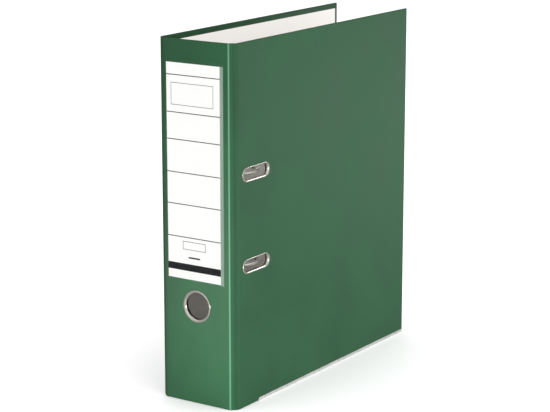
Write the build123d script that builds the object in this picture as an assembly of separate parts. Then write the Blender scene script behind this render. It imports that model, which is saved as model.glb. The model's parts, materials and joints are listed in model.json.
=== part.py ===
from build123d import *
import math
import os

# A lever arch file, standing upright and closed. Millimetres.
# X runs across the spine from the back cover to the front cover, Y from the spine to the
# fore-edge, Z up. The origin is the centre of the bottom of the whole file.

os.makedirs("parts", exist_ok=True)

# The case: three boards and two folded hinge strips, under one film and over one lining.
SPINE_WIDTH = 80.0
DEPTH = 285.0
HEIGHT = 318.0
HINGE_LEG = 5.6
FILM = 0.2
BOARD = 1.9
LINING = 0.15
TOP_TURN_IN = 5.0
FORE_TURN_IN = 3.6
CREASE_GAP = 0.3
CREASE_HALF_ANGLE = math.radians(22.5)
GROOVE_WIDTH = 2.6
GROOVE_DEPTH = 0.7
STRIP_GROOVE = 0.42
THROUGH = 1.0

# Edge guards, the finger ring and the cover eyelets.
GUARD_METAL = 0.3
GUARD_HEIGHT = 2.8
GUARD_FROM_SPINE = 34.3
RING_HEIGHT = 87.5
RING_BORE = 11.4
RING_WALL = 0.5
RING_FLANGE = 14.5
RING_PROUD = 0.8
RING_DOME = 1.6
RING_DIP = 0.2
RING_LIP = 1.2
WASHER = 0.4
EYELET_LENGTH = 41.3
EYELET_WIDTH = 13.0
EYELET_SLOT_LENGTH = 35.0
EYELET_SLOT_WIDTH = 9.6
EYELET_WALL = 0.5
EYELET_PROUD = 0.6
EYELET_LIP = (3.0, 1.6)

# The label and its pocket, on the spine.
LABEL_SIZE = (55.4, 187.3)
LABEL_THICKNESS = 0.25
LABEL_LEFT = -29.6
LABEL_BOTTOM = 110.7
POCKET_LEFT = -30.4
POCKET_RIGHT = 29.0
POCKET_BOTTOM = 109.7
POCKET_TOP = 300.0
POCKET_ROOM = 0.5
POCKET_SHEET = 0.15
POCKET_WELD = 0.6

# The lever mechanism, on the back cover. Its own directions are n, out from the plate, v, towards
# the fore-edge, and u, up; its zero is on the plate, midway between the two arches.
MECHANISM_FROM_SPINE = 32.0
MECHANISM_HEIGHT = 165.0
ARCH_PITCH = 80.0
ARCH_RADIUS = 17.0
ARCH_CENTRE_N = 57.5
ARCH_TIP_N = 46.0
ARCH_WIRE = 1.8
ARCH_BEND = 3.0
ROD_N = 3.0
CRANK_U = (8.0, 30.0)
PLATE_METAL = 0.8
PLATE_V = (-24.0, 26.0)
PLATE_U = (-58.0, 58.0)
PLATE_EDGE = 3.0
PLATE_CORNER = 5.0
PLATE_EDGE_INSET = 8.0
LUG_U = (-35.0, 0.0, 35.0)
LUG_THICKNESS = 3.0
LUG_TOP = 5.8
LUG_HALF = 3.0
LUG_ROUND = 2.6
LAP = 0.1
RUNNING = 0.06
LOOSE = 0.1
POST_RADIUS = 2.5
POST_BORE = 2.0
POST_CUP_N = 45.0
POST_TOP_N = 51.0
POST_COLLAR = 3.8
POST_COLLAR_HEIGHT = 1.5
RIVET_PLACES = ((-18.0, -52.0), (-18.0, 52.0), (20.0, -53.0), (20.0, 53.0))
RIVET_SHANK = 1.6
RIVET_HEAD = 4.0
RIVET_HEAD_HEIGHT = 0.6
RIVET_TAIL = 2.6
RIVET_TAIL_HEIGHT = 0.8
ARCH_SPRING_RADII = (2.2, 3.2)
ARCH_SPRING_U = (-20.0, -6.0)
ARCH_SPRING_LIFT = 0.3

# The lever, its axle and its roller. The ears and the cheeks stand on the posts' side of the crank.
LEVER_AXIS = (26.0, 13.0)
ROLLER_ARM = 9.38
ROLLER_ANGLE = math.radians(25.0)
ROLLER_RADIUS = 4.0
ROLLER_PIN = 1.2
ROLLER_V = (-8.8, 2.0)
LEVER_AXLE = 2.0
LEVER_AXLE_ENDS = (0.2, 0.4)
ROLLER_PIN_ENDS = (0.6, 0.3)
ROLLER_ROUND = 0.4
EAR_V = ((2.5, 3.5), (9.5, 10.5))
EAR_HALF = 3.5
CHEEK_V = ((3.7, 4.7), (8.3, 9.3))
CHEEK_HUB = 4.0
CHEEK_TIP = 3.0
LEVER_METAL = 1.0
LEVER_TOP_N = 15.6
HANDLE_V = (-6.0, 10.0)
HANDLE_U = (-36.0, 4.0)
HANDLE_SKIRT = 4.5
HANDLE_CORNER = 6.0
NECK_LAP = 2.0

# The compressor bar, which rides on the posts, and its catch.
BAR_HALF_LENGTH = 48.0
BAR_HALF_WIDTH = 5.0
BAR_N = (2.5, 7.5)
BAR_METAL = 0.8
BAR_HOLE = 3.5
BAR_CORNER = 3.0
TAB_GAP = 3.8
TAB_HALF = 2.2
CATCH_U = 30.0
CATCH_N = 10.5
CATCH_PIN = 1.0
CATCH_METAL = 1.0
CATCH_BARREL = 2.0
CATCH_PIN_HALF = 4.8
CATCH_CORNER = 2.0
GRIP_U = (33.5, 46.5)
GRIP_HALF = 4.8
THUMB_U = (15.0, 26.5)
THUMB_HALF = 4.5
WAIST_U = (24.0, 36.0)
WAIST_V = (-1.0, 3.4)
CATCH_SPRING_RADIUS = 1.8
CATCH_SPRING_V = (-3.2, -1.3)

# Derived places.
HALF_SPINE = SPINE_WIDTH / 2
HALF_DEPTH = DEPTH / 2
FLAT_SPINE = SPINE_WIDTH - 2 * HINGE_LEG
STRIP = HINGE_LEG * math.sqrt(2)
COVER = DEPTH - HINGE_LEG
CASE = FILM + BOARD
WALL = CASE + LINING
EDGE = CASE + FILM
CASE_BOTTOM = GUARD_METAL
PLATE_TOP_X = -HALF_SPINE + WALL + PLATE_METAL
MECHANISM_Y = -HALF_DEPTH + MECHANISM_FROM_SPINE
POST_V = ARCH_RADIUS
HALF_PITCH = ARCH_PITCH / 2
ROLLER_U = LEVER_AXIS[0] - ROLLER_ARM * math.cos(ROLLER_ANGLE)
ROLLER_N = LEVER_AXIS[1] - ROLLER_ARM * math.sin(ROLLER_ANGLE)

# Each panel's own frame: X along the blank, Y from its outer face inwards, Z up. The blank runs
# from the back cover's fore-edge, round the spine, to the front cover's fore-edge.
BACK_COVER = Plane(origin=(-HALF_SPINE, HALF_DEPTH, 0), x_dir=(0, -1, 0), z_dir=(0, 0, 1))
BACK_HINGE = Plane(
    origin=(-HALF_SPINE, -HALF_DEPTH + HINGE_LEG, 0), x_dir=(1, -1, 0), z_dir=(0, 0, 1)
)
SPINE = Plane(origin=(-FLAT_SPINE / 2, -HALF_DEPTH, 0), x_dir=(1, 0, 0), z_dir=(0, 0, 1))
FRONT_HINGE = Plane(origin=(FLAT_SPINE / 2, -HALF_DEPTH, 0), x_dir=(1, 1, 0), z_dir=(0, 0, 1))
FRONT_COVER = Plane(
    origin=(HALF_SPINE, -HALF_DEPTH + HINGE_LEG, 0), x_dir=(0, 1, 0), z_dir=(0, 0, 1)
)
CREASED = "creased"
FREE = "free"
ENDS = {
    "back_cover": (BACK_COVER, COVER, FREE, CREASED),
    "back_hinge": (BACK_HINGE, STRIP, CREASED, CREASED),
    "spine": (SPINE, FLAT_SPINE, CREASED, CREASED),
    "front_hinge": (FRONT_HINGE, STRIP, CREASED, CREASED),
    "front_cover": (FRONT_COVER, COVER, CREASED, FREE),
}


def between(low, high):
    """A box from its lowest corner to its highest."""
    size = [b - a for a, b in zip(low, high)]
    return Pos(*low) * Box(*size, align=(Align.MIN, Align.MIN, Align.MIN))


def mechanism(low, high):
    """A box in the mechanism's own n, v and u."""
    base = (PLATE_TOP_X, MECHANISM_Y, MECHANISM_HEIGHT)
    return Pos(*base) * between(low, high)


def along_n(radius, start, end, v, u):
    """A round bar that stands out of the plate."""
    place = Pos(PLATE_TOP_X + start, MECHANISM_Y + v, MECHANISM_HEIGHT + u)
    bar = Cylinder(radius, end - start, align=(Align.CENTER, Align.CENTER, Align.MIN))
    return place * Rot(0, 90, 0) * bar


def along_v(radius, start, end, n, u):
    """A round bar that lies across the mechanism, towards the fore-edge."""
    place = Pos(PLATE_TOP_X + n, MECHANISM_Y + start, MECHANISM_HEIGHT + u)
    bar = Cylinder(radius, end - start, align=(Align.CENTER, Align.CENTER, Align.MIN))
    return place * Rot(-90, 0, 0) * bar


def along_u(radius, start, end, n, v):
    """A round bar that lies up the mechanism."""
    place = Pos(PLATE_TOP_X + n, MECHANISM_Y + v, MECHANISM_HEIGHT + start)
    return place * Cylinder(radius, end - start, align=(Align.CENTER, Align.CENTER, Align.MIN))


# The case.


def setback(end, depth, margin):
    """How far a layer stops short of its panel's end: mitred at a crease, square at an edge."""
    if end == CREASED:
        return CREASE_GAP / 2 / math.cos(CREASE_HALF_ANGLE) + depth * math.tan(CREASE_HALF_ANGLE)
    return margin


def layer(panel, depths, edge_inset, bottom, top, past_crease=0.0):
    """One layer of a panel, in the panel's own frame, between two depths from its outer face."""
    _, length, start, end = ENDS[panel]
    near, far = depths
    margins = []
    for side in (start, end):
        extra = past_crease if side == CREASED else 0.0
        margins.append([setback(side, depth, edge_inset) - extra for depth in (near, far)])
    (start_near, start_far), (end_near, end_far) = margins
    outline = Polyline(
        (start_near, near), (length - end_near, near), (length - end_far, far), (start_far, far),
        close=True,
    )
    return Pos(0, 0, bottom) * extrude(make_face(outline), top - bottom)


def pressed_groove(at):
    """The round channel that creasing presses into the outside of the board."""
    radius = (GROOVE_WIDTH**2 / 4 + GROOVE_DEPTH**2) / (2 * GROOVE_DEPTH)
    place = Pos(at, FILM + GROOVE_DEPTH - radius, 0)
    return place * Cylinder(radius, HEIGHT, align=(Align.CENTER, Align.CENTER, Align.MIN))


def board(panel, grooves=()):
    """The grey board of one panel, inside the film's turned edges."""
    solid = layer(panel, (FILM, CASE), FILM, CASE_BOTTOM + FILM, HEIGHT - FILM)
    for at in grooves:
        solid -= pressed_groove(at)
    return ENDS[panel][0] * solid


def wrap(panel):
    """The film over one panel, turned in over its top, bottom and any fore-edge."""
    skin = layer(panel, (0, EDGE), 0.0, CASE_BOTTOM, HEIGHT)
    core = layer(panel, (FILM, CASE), FILM, CASE_BOTTOM + FILM, HEIGHT - FILM, past_crease=THROUGH)
    window = layer(
        panel, (CASE, 2 * CASE), FORE_TURN_IN, CASE_BOTTOM + TOP_TURN_IN, HEIGHT - TOP_TURN_IN,
        past_crease=2 * THROUGH,
    )
    return ENDS[panel][0] * (skin - core - window)


def lining(panel):
    """The paper pasted inside one panel, up to the film's turned edges."""
    sheet = layer(
        panel, (CASE, WALL), FORE_TURN_IN, CASE_BOTTOM + TOP_TURN_IN, HEIGHT - TOP_TURN_IN
    )
    return ENDS[panel][0] * sheet


def edge_guard(panel):
    """The metal channel crimped over a cover's bottom edge, up to its fore-edge corner."""
    plane, length, start, _ = ENDS[panel]
    near = 0.0 if start == FREE else GUARD_FROM_SPINE - HINGE_LEG
    far = length - (GUARD_FROM_SPINE - HINGE_LEG) if start == FREE else length
    outside = between((near, -GUARD_METAL, 0), (far, EDGE + GUARD_METAL, GUARD_HEIGHT))
    long_edges = outside.edges().filter_by(Axis.X).group_by(Axis.Z)[0]
    outside = fillet(long_edges, GUARD_METAL * 0.8)
    inside = between((near, 0, GUARD_METAL), (far, EDGE, GUARD_HEIGHT))
    return plane * (outside - inside)


def slot_bar(length, width, depth_from, depth_to, height):
    """A straight-sided, round-ended bar through the front cover at one eyelet."""
    along = MECHANISM_FROM_SPINE - HINGE_LEG
    face = Plane(origin=(along, depth_from, height), x_dir=(1, 0, 0), z_dir=(0, 1, 0))
    return FRONT_COVER * (face * extrude(SlotOverall(length, width), depth_to - depth_from))


def eyelet_heights():
    """Where the two eyelets are, lower first."""
    return (MECHANISM_HEIGHT - HALF_PITCH, MECHANISM_HEIGHT + HALF_PITCH)


def cover_slots():
    """The two slots cut through the whole front cover for the eyelets."""
    size = (EYELET_SLOT_LENGTH, EYELET_SLOT_WIDTH)
    length, width = [side + 2 * (EYELET_WALL + LOOSE) for side in size]
    near, far = (-THROUGH, EDGE + THROUGH)
    return [slot_bar(length, width, near, far, height) for height in eyelet_heights()]


def eyelet(height):
    """A pressed eyelet: rounded flange outside, barrel through the cover, lip rolled inside."""
    flange = slot_bar(EYELET_LENGTH, EYELET_WIDTH, -EYELET_PROUD, 0.0, height)
    outer_edge = flange.edges().group_by(Axis.X)[-1]
    flange = fillet(outer_edge, EYELET_PROUD * 0.7)
    size = (EYELET_SLOT_LENGTH, EYELET_SLOT_WIDTH)
    barrel_size = [side + 2 * EYELET_WALL for side in size]
    barrel = slot_bar(*barrel_size, -EYELET_PROUD / 2, WALL + WASHER, height)
    lip_size = [side + extra for side, extra in zip(barrel_size, EYELET_LIP)]
    lip = slot_bar(*lip_size, WALL, WALL + WASHER, height)
    opening = slot_bar(*size, -EYELET_PROUD - THROUGH, WALL + THROUGH, height)
    return flange + barrel + lip - opening


def ring_hole():
    """The hole through the spine for the finger ring."""
    radius = RING_BORE + RING_WALL + LOOSE
    place = Pos(0, -HALF_DEPTH - THROUGH, RING_HEIGHT)
    hole = Cylinder(radius, EDGE + 2 * THROUGH, align=(Align.CENTER, Align.CENTER, Align.MIN))
    return place * Rot(-90, 0, 0) * hole


def on_ring(profile):
    """Turn a profile of radius and depth round the finger ring's axis."""
    turned = revolve(profile, Axis.Y)
    return Pos(0, -HALF_DEPTH, RING_HEIGHT) * turned


def finger_ring():
    """The domed flange, the barrel through the spine and the lip rolled over the washer."""
    barrel = RING_BORE + RING_WALL
    lip_near = WALL + WASHER
    lip_far = lip_near + RING_WALL
    crown = (RING_FLANGE - RING_DOME, -RING_PROUD)
    dome = ThreePointArc((RING_FLANGE, 0), crown, (RING_BORE, RING_DIP))
    rest = Polyline(
        (RING_BORE, RING_DIP), (RING_BORE, lip_far), (barrel + RING_LIP, lip_far),
        (barrel + RING_LIP, lip_near), (barrel, lip_near), (barrel, 0), (RING_FLANGE, 0),
    )
    return on_ring(make_face(dome + rest))


def finger_ring_washer():
    """The flat washer between the lining and the finger ring's rolled lip."""
    near = RING_BORE + RING_WALL + LOOSE
    far = RING_FLANGE - RING_WALL
    outline = Polyline(
        (near, WALL), (near, WALL + WASHER), (far, WALL + WASHER), (far, WALL), close=True
    )
    return on_ring(make_face(outline))


def label_pocket():
    """The clear sheet welded to the spine along its two sides and its bottom, open at the top."""
    outer = -HALF_DEPTH - POCKET_ROOM - POCKET_SHEET
    block = between(
        (POCKET_LEFT, outer, POCKET_BOTTOM), (POCKET_RIGHT, -HALF_DEPTH, POCKET_TOP)
    )
    room = between(
        (POCKET_LEFT + POCKET_WELD, outer + POCKET_SHEET, POCKET_BOTTOM + POCKET_WELD),
        (POCKET_RIGHT - POCKET_WELD, -HALF_DEPTH, POCKET_TOP),
    )
    return block - room


def spine_label():
    """The card that stands in the pocket."""
    width, height = LABEL_SIZE
    middle = -HALF_DEPTH - POCKET_ROOM / 2
    return between(
        (LABEL_LEFT, middle - LABEL_THICKNESS / 2, LABEL_BOTTOM),
        (LABEL_LEFT + width, middle + LABEL_THICKNESS / 2, LABEL_BOTTOM + height),
    )


# The fixed part of the mechanism.


def rivet_holes():
    """The four rivets' holes, through the plate and the whole back cover."""
    start = -PLATE_METAL - EDGE - THROUGH
    return [along_n(RIVET_SHANK + LOOSE / 2, start, THROUGH, v, u) for v, u in RIVET_PLACES]


def mechanism_rivets():
    """Four rivets: low dome outside the cover, shank, and tail closed on the plate."""
    outside = -PLATE_METAL - WALL
    rivets = []
    for v, u in RIVET_PLACES:
        head = along_n(RIVET_HEAD, outside - RIVET_HEAD_HEIGHT, outside, v, u)
        head = fillet(head.edges().group_by(Axis.X)[0], RIVET_HEAD_HEIGHT * 0.8)
        shank = along_n(RIVET_SHANK, outside, RIVET_TAIL_HEIGHT, v, u)
        tail = along_n(RIVET_TAIL, 0, RIVET_TAIL_HEIGHT, v, u)
        tail = fillet(tail.edges().group_by(Axis.X)[-1], RIVET_TAIL_HEIGHT * 0.6)
        rivets.append(head + shank + tail)
    return Compound(children=rivets)


def bearing_lug(u):
    """One strap that holds the arch wire's straight rod down to the plate."""
    half = LUG_THICKNESS / 2
    near, far = (-ARCH_RADIUS - LUG_HALF, -ARCH_RADIUS + LUG_HALF)
    lug = mechanism((-LAP, near, u - half), (LUG_TOP, far, u + half))
    top_edges = lug.edges().filter_by(Axis.Z).group_by(Axis.X)[-1]
    lug = fillet(top_edges, LUG_ROUND)
    reach = half + THROUGH
    bore = along_u(ARCH_WIRE + RUNNING, u - reach, u + reach, ROD_N, -ARCH_RADIUS)
    return lug - bore


def lever_ear(sides):
    """One ear of the plate, rounded over the lever's axle."""
    u, n = LEVER_AXIS
    start, end = sides
    stem = mechanism((-LAP, start, u - EAR_HALF), (n, end, u + EAR_HALF))
    top = along_v(EAR_HALF, start, end, n, u)
    bore = along_v(LEVER_AXLE + LOOSE / 2, start - THROUGH, end + THROUGH, n, u)
    return stem + top - bore


def base_plate():
    """The pressed plate with its turned-up long edges, bearing lugs and lever ears."""
    sheet = mechanism((-PLATE_METAL, PLATE_V[0], PLATE_U[0]), (0, PLATE_V[1], PLATE_U[1]))
    sheet = fillet(sheet.edges().filter_by(Axis.X), PLATE_CORNER)
    low, high = (PLATE_U[0] + PLATE_EDGE_INSET, PLATE_U[1] - PLATE_EDGE_INSET)
    for v in (PLATE_V[0], PLATE_V[1] - PLATE_METAL):
        sheet += mechanism((-LAP, v, low), (PLATE_EDGE, v + PLATE_METAL, high))
    for u in LUG_U:
        sheet += bearing_lug(u)
    for sides in EAR_V:
        sheet += lever_ear(sides)
    for u in (-HALF_PITCH, HALF_PITCH):
        sheet -= along_n(POST_BORE + LOOSE / 2, -2 * PLATE_METAL, THROUGH, POST_V, u)
    return sheet - rivet_holes()


def post(u):
    """A tube on a collar, riveted through the plate, with its top cut to a half cup."""
    solid = along_n(POST_RADIUS, 0, POST_TOP_N, POST_V, u)
    solid += along_n(POST_COLLAR, 0, POST_COLLAR_HEIGHT, POST_V, u)
    solid += along_n(POST_BORE, -PLATE_METAL, 0, POST_V, u)
    solid -= along_n(POST_BORE, PLATE_METAL, POST_TOP_N + THROUGH, POST_V, u)
    reach = POST_RADIUS + THROUGH
    open_side = mechanism(
        (POST_CUP_N, POST_V - reach, u - reach), (POST_TOP_N + THROUGH, POST_V, u + reach)
    )
    return solid - open_side


def lever_pin():
    """The axle the lever turns on, fixed in the plate's two ears."""
    u, n = LEVER_AXIS
    near, far = LEVER_AXLE_ENDS
    return along_v(LEVER_AXLE, EAR_V[0][0] - near, EAR_V[1][1] + far, n, u)


def arch_spring():
    """The space of the spring wound round the rod, which throws the arches open."""
    start, end = ARCH_SPRING_U
    inner, outer = ARCH_SPRING_RADII
    coil = along_u(outer, start, end, ROD_N + ARCH_SPRING_LIFT, -ARCH_RADIUS)
    return coil - along_u(inner, start - THROUGH, end + THROUGH, ROD_N, -ARCH_RADIUS)


# The moving parts of the mechanism.


def mechanism_point(n, v, u):
    """A point given in the mechanism's own n, v and u."""
    return Vector(PLATE_TOP_X + n, MECHANISM_Y + v, MECHANISM_HEIGHT + u)


def arch_path():
    """The wire's centre line: tip, arch, leg, rod with its crank, and the same again."""
    edges = []
    for u in (-HALF_PITCH, HALF_PITCH):
        tip = mechanism_point(ARCH_TIP_N, ARCH_RADIUS, u)
        spring_in = mechanism_point(ARCH_CENTRE_N, ARCH_RADIUS, u)
        crown = mechanism_point(ARCH_CENTRE_N + ARCH_RADIUS, 0, u)
        spring_out = mechanism_point(ARCH_CENTRE_N, -ARCH_RADIUS, u)
        edges += [Line(tip, spring_in), ThreePointArc(spring_in, crown, spring_out)]
    low, high = CRANK_U
    corners = [
        (ARCH_CENTRE_N, -ARCH_RADIUS, -HALF_PITCH), (ROD_N, -ARCH_RADIUS, -HALF_PITCH),
        (ROD_N, -ARCH_RADIUS, low), (ROD_N, 0, low), (ROD_N, 0, high), (ROD_N, -ARCH_RADIUS, high),
        (ROD_N, -ARCH_RADIUS, HALF_PITCH), (ARCH_CENTRE_N, -ARCH_RADIUS, HALF_PITCH),
    ]
    points = [mechanism_point(*corner) for corner in corners]
    edges += FilletPolyline(*points, radius=ARCH_BEND).edges()
    return Wire(edges)


def arch_wire():
    """Both arches, their rod and the crank that the lever works, bent from one wire."""
    tip = mechanism_point(ARCH_TIP_N, ARCH_RADIUS, -HALF_PITCH)
    section = Plane(origin=tip, z_dir=(1, 0, 0)) * Circle(ARCH_WIRE)
    return sweep(section, path=arch_path())


def lever_cheek(sides):
    """One side plate of the lever, from its axle to its roller."""
    u, n = LEVER_AXIS
    start, end = sides
    plate = along_v(CHEEK_HUB, start, end, n, u) + along_v(CHEEK_TIP, start, end, ROLLER_N, ROLLER_U)
    rib = mechanism((ROLLER_N, start, HANDLE_U[1] - NECK_LAP), (LEVER_TOP_N, end, u))
    return plate + rib


def lever():
    """The pressed lever: two cheeks at its axle and a wide hollow handle, rounded at its end."""
    u, n = LEVER_AXIS
    solid = lever_cheek(CHEEK_V[0]) + lever_cheek(CHEEK_V[1])
    under_top = LEVER_TOP_N - LEVER_METAL
    neck = (HANDLE_U[1] - NECK_LAP, u)
    solid += mechanism((under_top, CHEEK_V[0][0], neck[0]), (LEVER_TOP_N, CHEEK_V[1][1], neck[1]))
    skirt = LEVER_TOP_N - HANDLE_SKIRT
    block = mechanism((skirt, HANDLE_V[0], HANDLE_U[0]), (LEVER_TOP_N, HANDLE_V[1], HANDLE_U[1]))
    block = fillet(block.edges().filter_by(Axis.X).group_by(Axis.Z)[0], HANDLE_CORNER)
    hollow = offset(block, -LEVER_METAL) + Pos(-LEVER_METAL, 0, 0) * offset(block, -LEVER_METAL)
    solid += block - hollow
    near, far = (HANDLE_V[0], HANDLE_V[1] + THROUGH)
    solid -= along_v(LEVER_AXLE + RUNNING, near, far, n, u)
    return solid - along_v(ROLLER_PIN + LOOSE / 2, near, far, ROLLER_N, ROLLER_U)


def lever_roller_pin():
    """The pin through both cheeks that carries the roller over the crank."""
    near, far = ROLLER_PIN_ENDS
    return along_v(ROLLER_PIN, ROLLER_V[0] - near, CHEEK_V[1][1] + far, ROLLER_N, ROLLER_U)


def lever_roller():
    """The roller that holds the crank down while the arches are shut."""
    start, end = ROLLER_V
    roller = along_v(ROLLER_RADIUS, start, end, ROLLER_N, ROLLER_U)
    roller = fillet(roller.edges(), ROLLER_ROUND)
    bore = (start - THROUGH, end + THROUGH)
    return roller - along_v(ROLLER_PIN + RUNNING, *bore, ROLLER_N, ROLLER_U)


def catch_tab(side):
    """One tab of the compressor bar that holds the catch's pin."""
    near = POST_V + side * TAB_GAP
    low, high = sorted((near, near + side * BAR_METAL))
    tab = mechanism((BAR_N[1] - LAP, low, CATCH_U - TAB_HALF), (CATCH_N, high, CATCH_U + TAB_HALF))
    tab += along_v(TAB_HALF, low, high, CATCH_N, CATCH_U)
    bore = (low - THROUGH, high + THROUGH)
    return tab - along_v(CATCH_PIN + LOOSE / 2, *bore, CATCH_N, CATCH_U)


def compressor_bar():
    """The channel that presses on the papers, with a loose hole for each post."""
    low_n, high_n = BAR_N
    low_v, high_v = (POST_V - BAR_HALF_WIDTH, POST_V + BAR_HALF_WIDTH)
    bar = mechanism((low_n, low_v, -BAR_HALF_LENGTH), (high_n, high_v, BAR_HALF_LENGTH))
    bar = fillet(bar.edges().filter_by(Axis.X), BAR_CORNER)
    inner_low = (low_n, low_v + BAR_METAL, -BAR_HALF_LENGTH + BAR_METAL)
    inner_high = (high_n - BAR_METAL, high_v - BAR_METAL, BAR_HALF_LENGTH - BAR_METAL)
    inside = mechanism(inner_low, inner_high)
    bar -= fillet(inside.edges().filter_by(Axis.X), BAR_CORNER - BAR_METAL)
    for u in (-HALF_PITCH, HALF_PITCH):
        bar -= along_n(BAR_HOLE, low_n, high_n + THROUGH, POST_V, u)
    return bar + catch_tab(-1) + catch_tab(1)


def compressor_catch():
    """The rocking plate that bites on the upper post until its thumb end is pressed."""
    low, high = (CATCH_N - CATCH_METAL / 2, CATCH_N + CATCH_METAL / 2)
    waist_v = (POST_V + WAIST_V[0], POST_V + WAIST_V[1])
    plate = mechanism((low, waist_v[0], WAIST_U[0]), (high, waist_v[1], WAIST_U[1]))
    plate += along_v(CATCH_BARREL, *waist_v, CATCH_N, CATCH_U)
    for (start, end), half in ((GRIP_U, GRIP_HALF), (THUMB_U, THUMB_HALF)):
        pad = mechanism((low, POST_V - half, start), (high, POST_V + half, end))
        plate += fillet(pad.edges().filter_by(Axis.X), CATCH_CORNER)
    reach = CATCH_PIN_HALF + THROUGH
    plate -= along_v(CATCH_PIN + RUNNING, POST_V - reach, POST_V + reach, CATCH_N, CATCH_U)
    return plate - along_n(BAR_HOLE + LOOSE, low - THROUGH, high + THROUGH, POST_V, HALF_PITCH)


def catch_pin():
    """The pin the catch rocks on, fixed in the bar's two tabs."""
    near, far = (POST_V - CATCH_PIN_HALF, POST_V + CATCH_PIN_HALF)
    return along_v(CATCH_PIN, near, far, CATCH_N, CATCH_U)


def catch_spring():
    """The space of the spring wound round the catch's pin."""
    start, end = (POST_V + CATCH_SPRING_V[0], POST_V + CATCH_SPRING_V[1])
    coil = along_v(CATCH_SPRING_RADIUS, start, end, CATCH_N, CATCH_U)
    bore = (start - THROUGH, end + THROUGH)
    return coil - along_v(CATCH_PIN + RUNNING, *bore, CATCH_N, CATCH_U)


def case_parts():
    """The boards, film, lining and edge guards of the case, panel by panel."""
    cuts = {
        "back_cover": rivet_holes(),
        "spine": [ring_hole()],
        "front_cover": cover_slots(),
    }
    grooves = {
        "back_cover": (COVER,),
        "back_hinge": (0.0, STRIP * (1 - STRIP_GROOVE)),
        "front_hinge": (STRIP * STRIP_GROOVE, STRIP),
        "front_cover": (0.0,),
    }
    parts = {}
    for panel in ENDS:
        name = panel.replace("_cover", "")
        parts[f"{name}_board"] = board(panel, grooves.get(panel, ()))
        parts[f"{name}_film"] = wrap(panel)
        parts[f"{name}_lining"] = lining(panel)
        for kind in ("board", "film", "lining"):
            for cut in cuts.get(panel, ()):
                parts[f"{name}_{kind}"] -= cut
    parts["back_edge_guard"] = edge_guard("back_cover")
    parts["front_edge_guard"] = edge_guard("front_cover")
    return parts


def fittings():
    """The fittings of the spine and the front cover."""
    lower, upper = eyelet_heights()
    return {
        "finger_ring": finger_ring(),
        "finger_ring_washer": finger_ring_washer(),
        "label_pocket": label_pocket(),
        "spine_label": spine_label(),
        "eyelet_lower": eyelet(lower),
        "eyelet_upper": eyelet(upper),
    }


def mechanism_parts():
    """The lever mechanism and the compressor bar."""
    return {
        "base_plate": base_plate(),
        "mechanism_rivets": mechanism_rivets(),
        "post_lower": post(-HALF_PITCH),
        "post_upper": post(HALF_PITCH),
        "lever_pin": lever_pin(),
        "arch_spring": arch_spring(),
        "arch_wire": arch_wire(),
        "lever": lever(),
        "lever_roller_pin": lever_roller_pin(),
        "lever_roller": lever_roller(),
        "compressor_bar": compressor_bar(),
        "catch_pin": catch_pin(),
        "catch_spring": catch_spring(),
        "compressor_catch": compressor_catch(),
    }


for node, solid in {**case_parts(), **fittings(), **mechanism_parts()}.items():
    export_step(solid, f"parts/{node}.step")
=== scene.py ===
import json
import math

import bmesh
import bpy
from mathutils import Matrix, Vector

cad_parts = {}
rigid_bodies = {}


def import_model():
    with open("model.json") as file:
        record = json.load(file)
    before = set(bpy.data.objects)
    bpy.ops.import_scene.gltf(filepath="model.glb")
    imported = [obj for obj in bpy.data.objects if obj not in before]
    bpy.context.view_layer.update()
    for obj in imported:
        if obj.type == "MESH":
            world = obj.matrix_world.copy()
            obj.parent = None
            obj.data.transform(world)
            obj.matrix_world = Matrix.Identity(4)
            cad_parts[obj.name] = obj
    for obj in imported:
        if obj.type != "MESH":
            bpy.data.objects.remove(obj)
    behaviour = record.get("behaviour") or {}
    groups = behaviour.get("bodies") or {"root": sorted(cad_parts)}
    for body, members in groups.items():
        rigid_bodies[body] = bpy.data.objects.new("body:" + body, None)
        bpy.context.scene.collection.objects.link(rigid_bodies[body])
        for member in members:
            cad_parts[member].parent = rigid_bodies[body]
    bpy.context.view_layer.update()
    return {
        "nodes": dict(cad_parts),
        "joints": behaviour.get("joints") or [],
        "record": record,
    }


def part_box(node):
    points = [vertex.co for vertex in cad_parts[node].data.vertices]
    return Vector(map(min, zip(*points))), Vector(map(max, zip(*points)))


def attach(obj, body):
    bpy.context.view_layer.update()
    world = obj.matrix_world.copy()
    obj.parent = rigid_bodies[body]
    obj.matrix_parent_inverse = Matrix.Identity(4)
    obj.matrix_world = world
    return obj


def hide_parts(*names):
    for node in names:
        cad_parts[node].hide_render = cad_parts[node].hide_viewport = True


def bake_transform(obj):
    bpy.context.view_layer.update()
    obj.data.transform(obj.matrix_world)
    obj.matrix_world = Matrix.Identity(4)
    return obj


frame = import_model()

# Everything is in metres, in the CAD frame: X across the spine, Y from the spine to the fore-edge,
# Z up. MM turns the small sizes below, which are written in millimetres, into metres.
MM = 0.001
# The mesh attribute that carries rubbed wear and milkiness, and also painted highlight and painted
# shade.
WEAR_AND_PAINTED_LIGHT = "wear"
joints = {joint["name"]: joint for joint in frame["joints"]}

# ---------------------------------------------------------------- materials

# Noise scales are features to the millimetre, stretches are along X, Y and Z, spans are the part
# of a noise that a ramp runs over, and bumps are heights in millimetres.
SPAN = (0.3, 0.7)
FILM_GREENS = ((0.0105, 0.067, 0.025), (0.016, 0.086, 0.034))
# The pale colour over the front crest is partly rubbed film and partly a painted highlight.
FILM_PALE_WEAR_AND_HIGHLIGHT = (0.090, 0.245, 0.145, 1.0)
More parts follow.
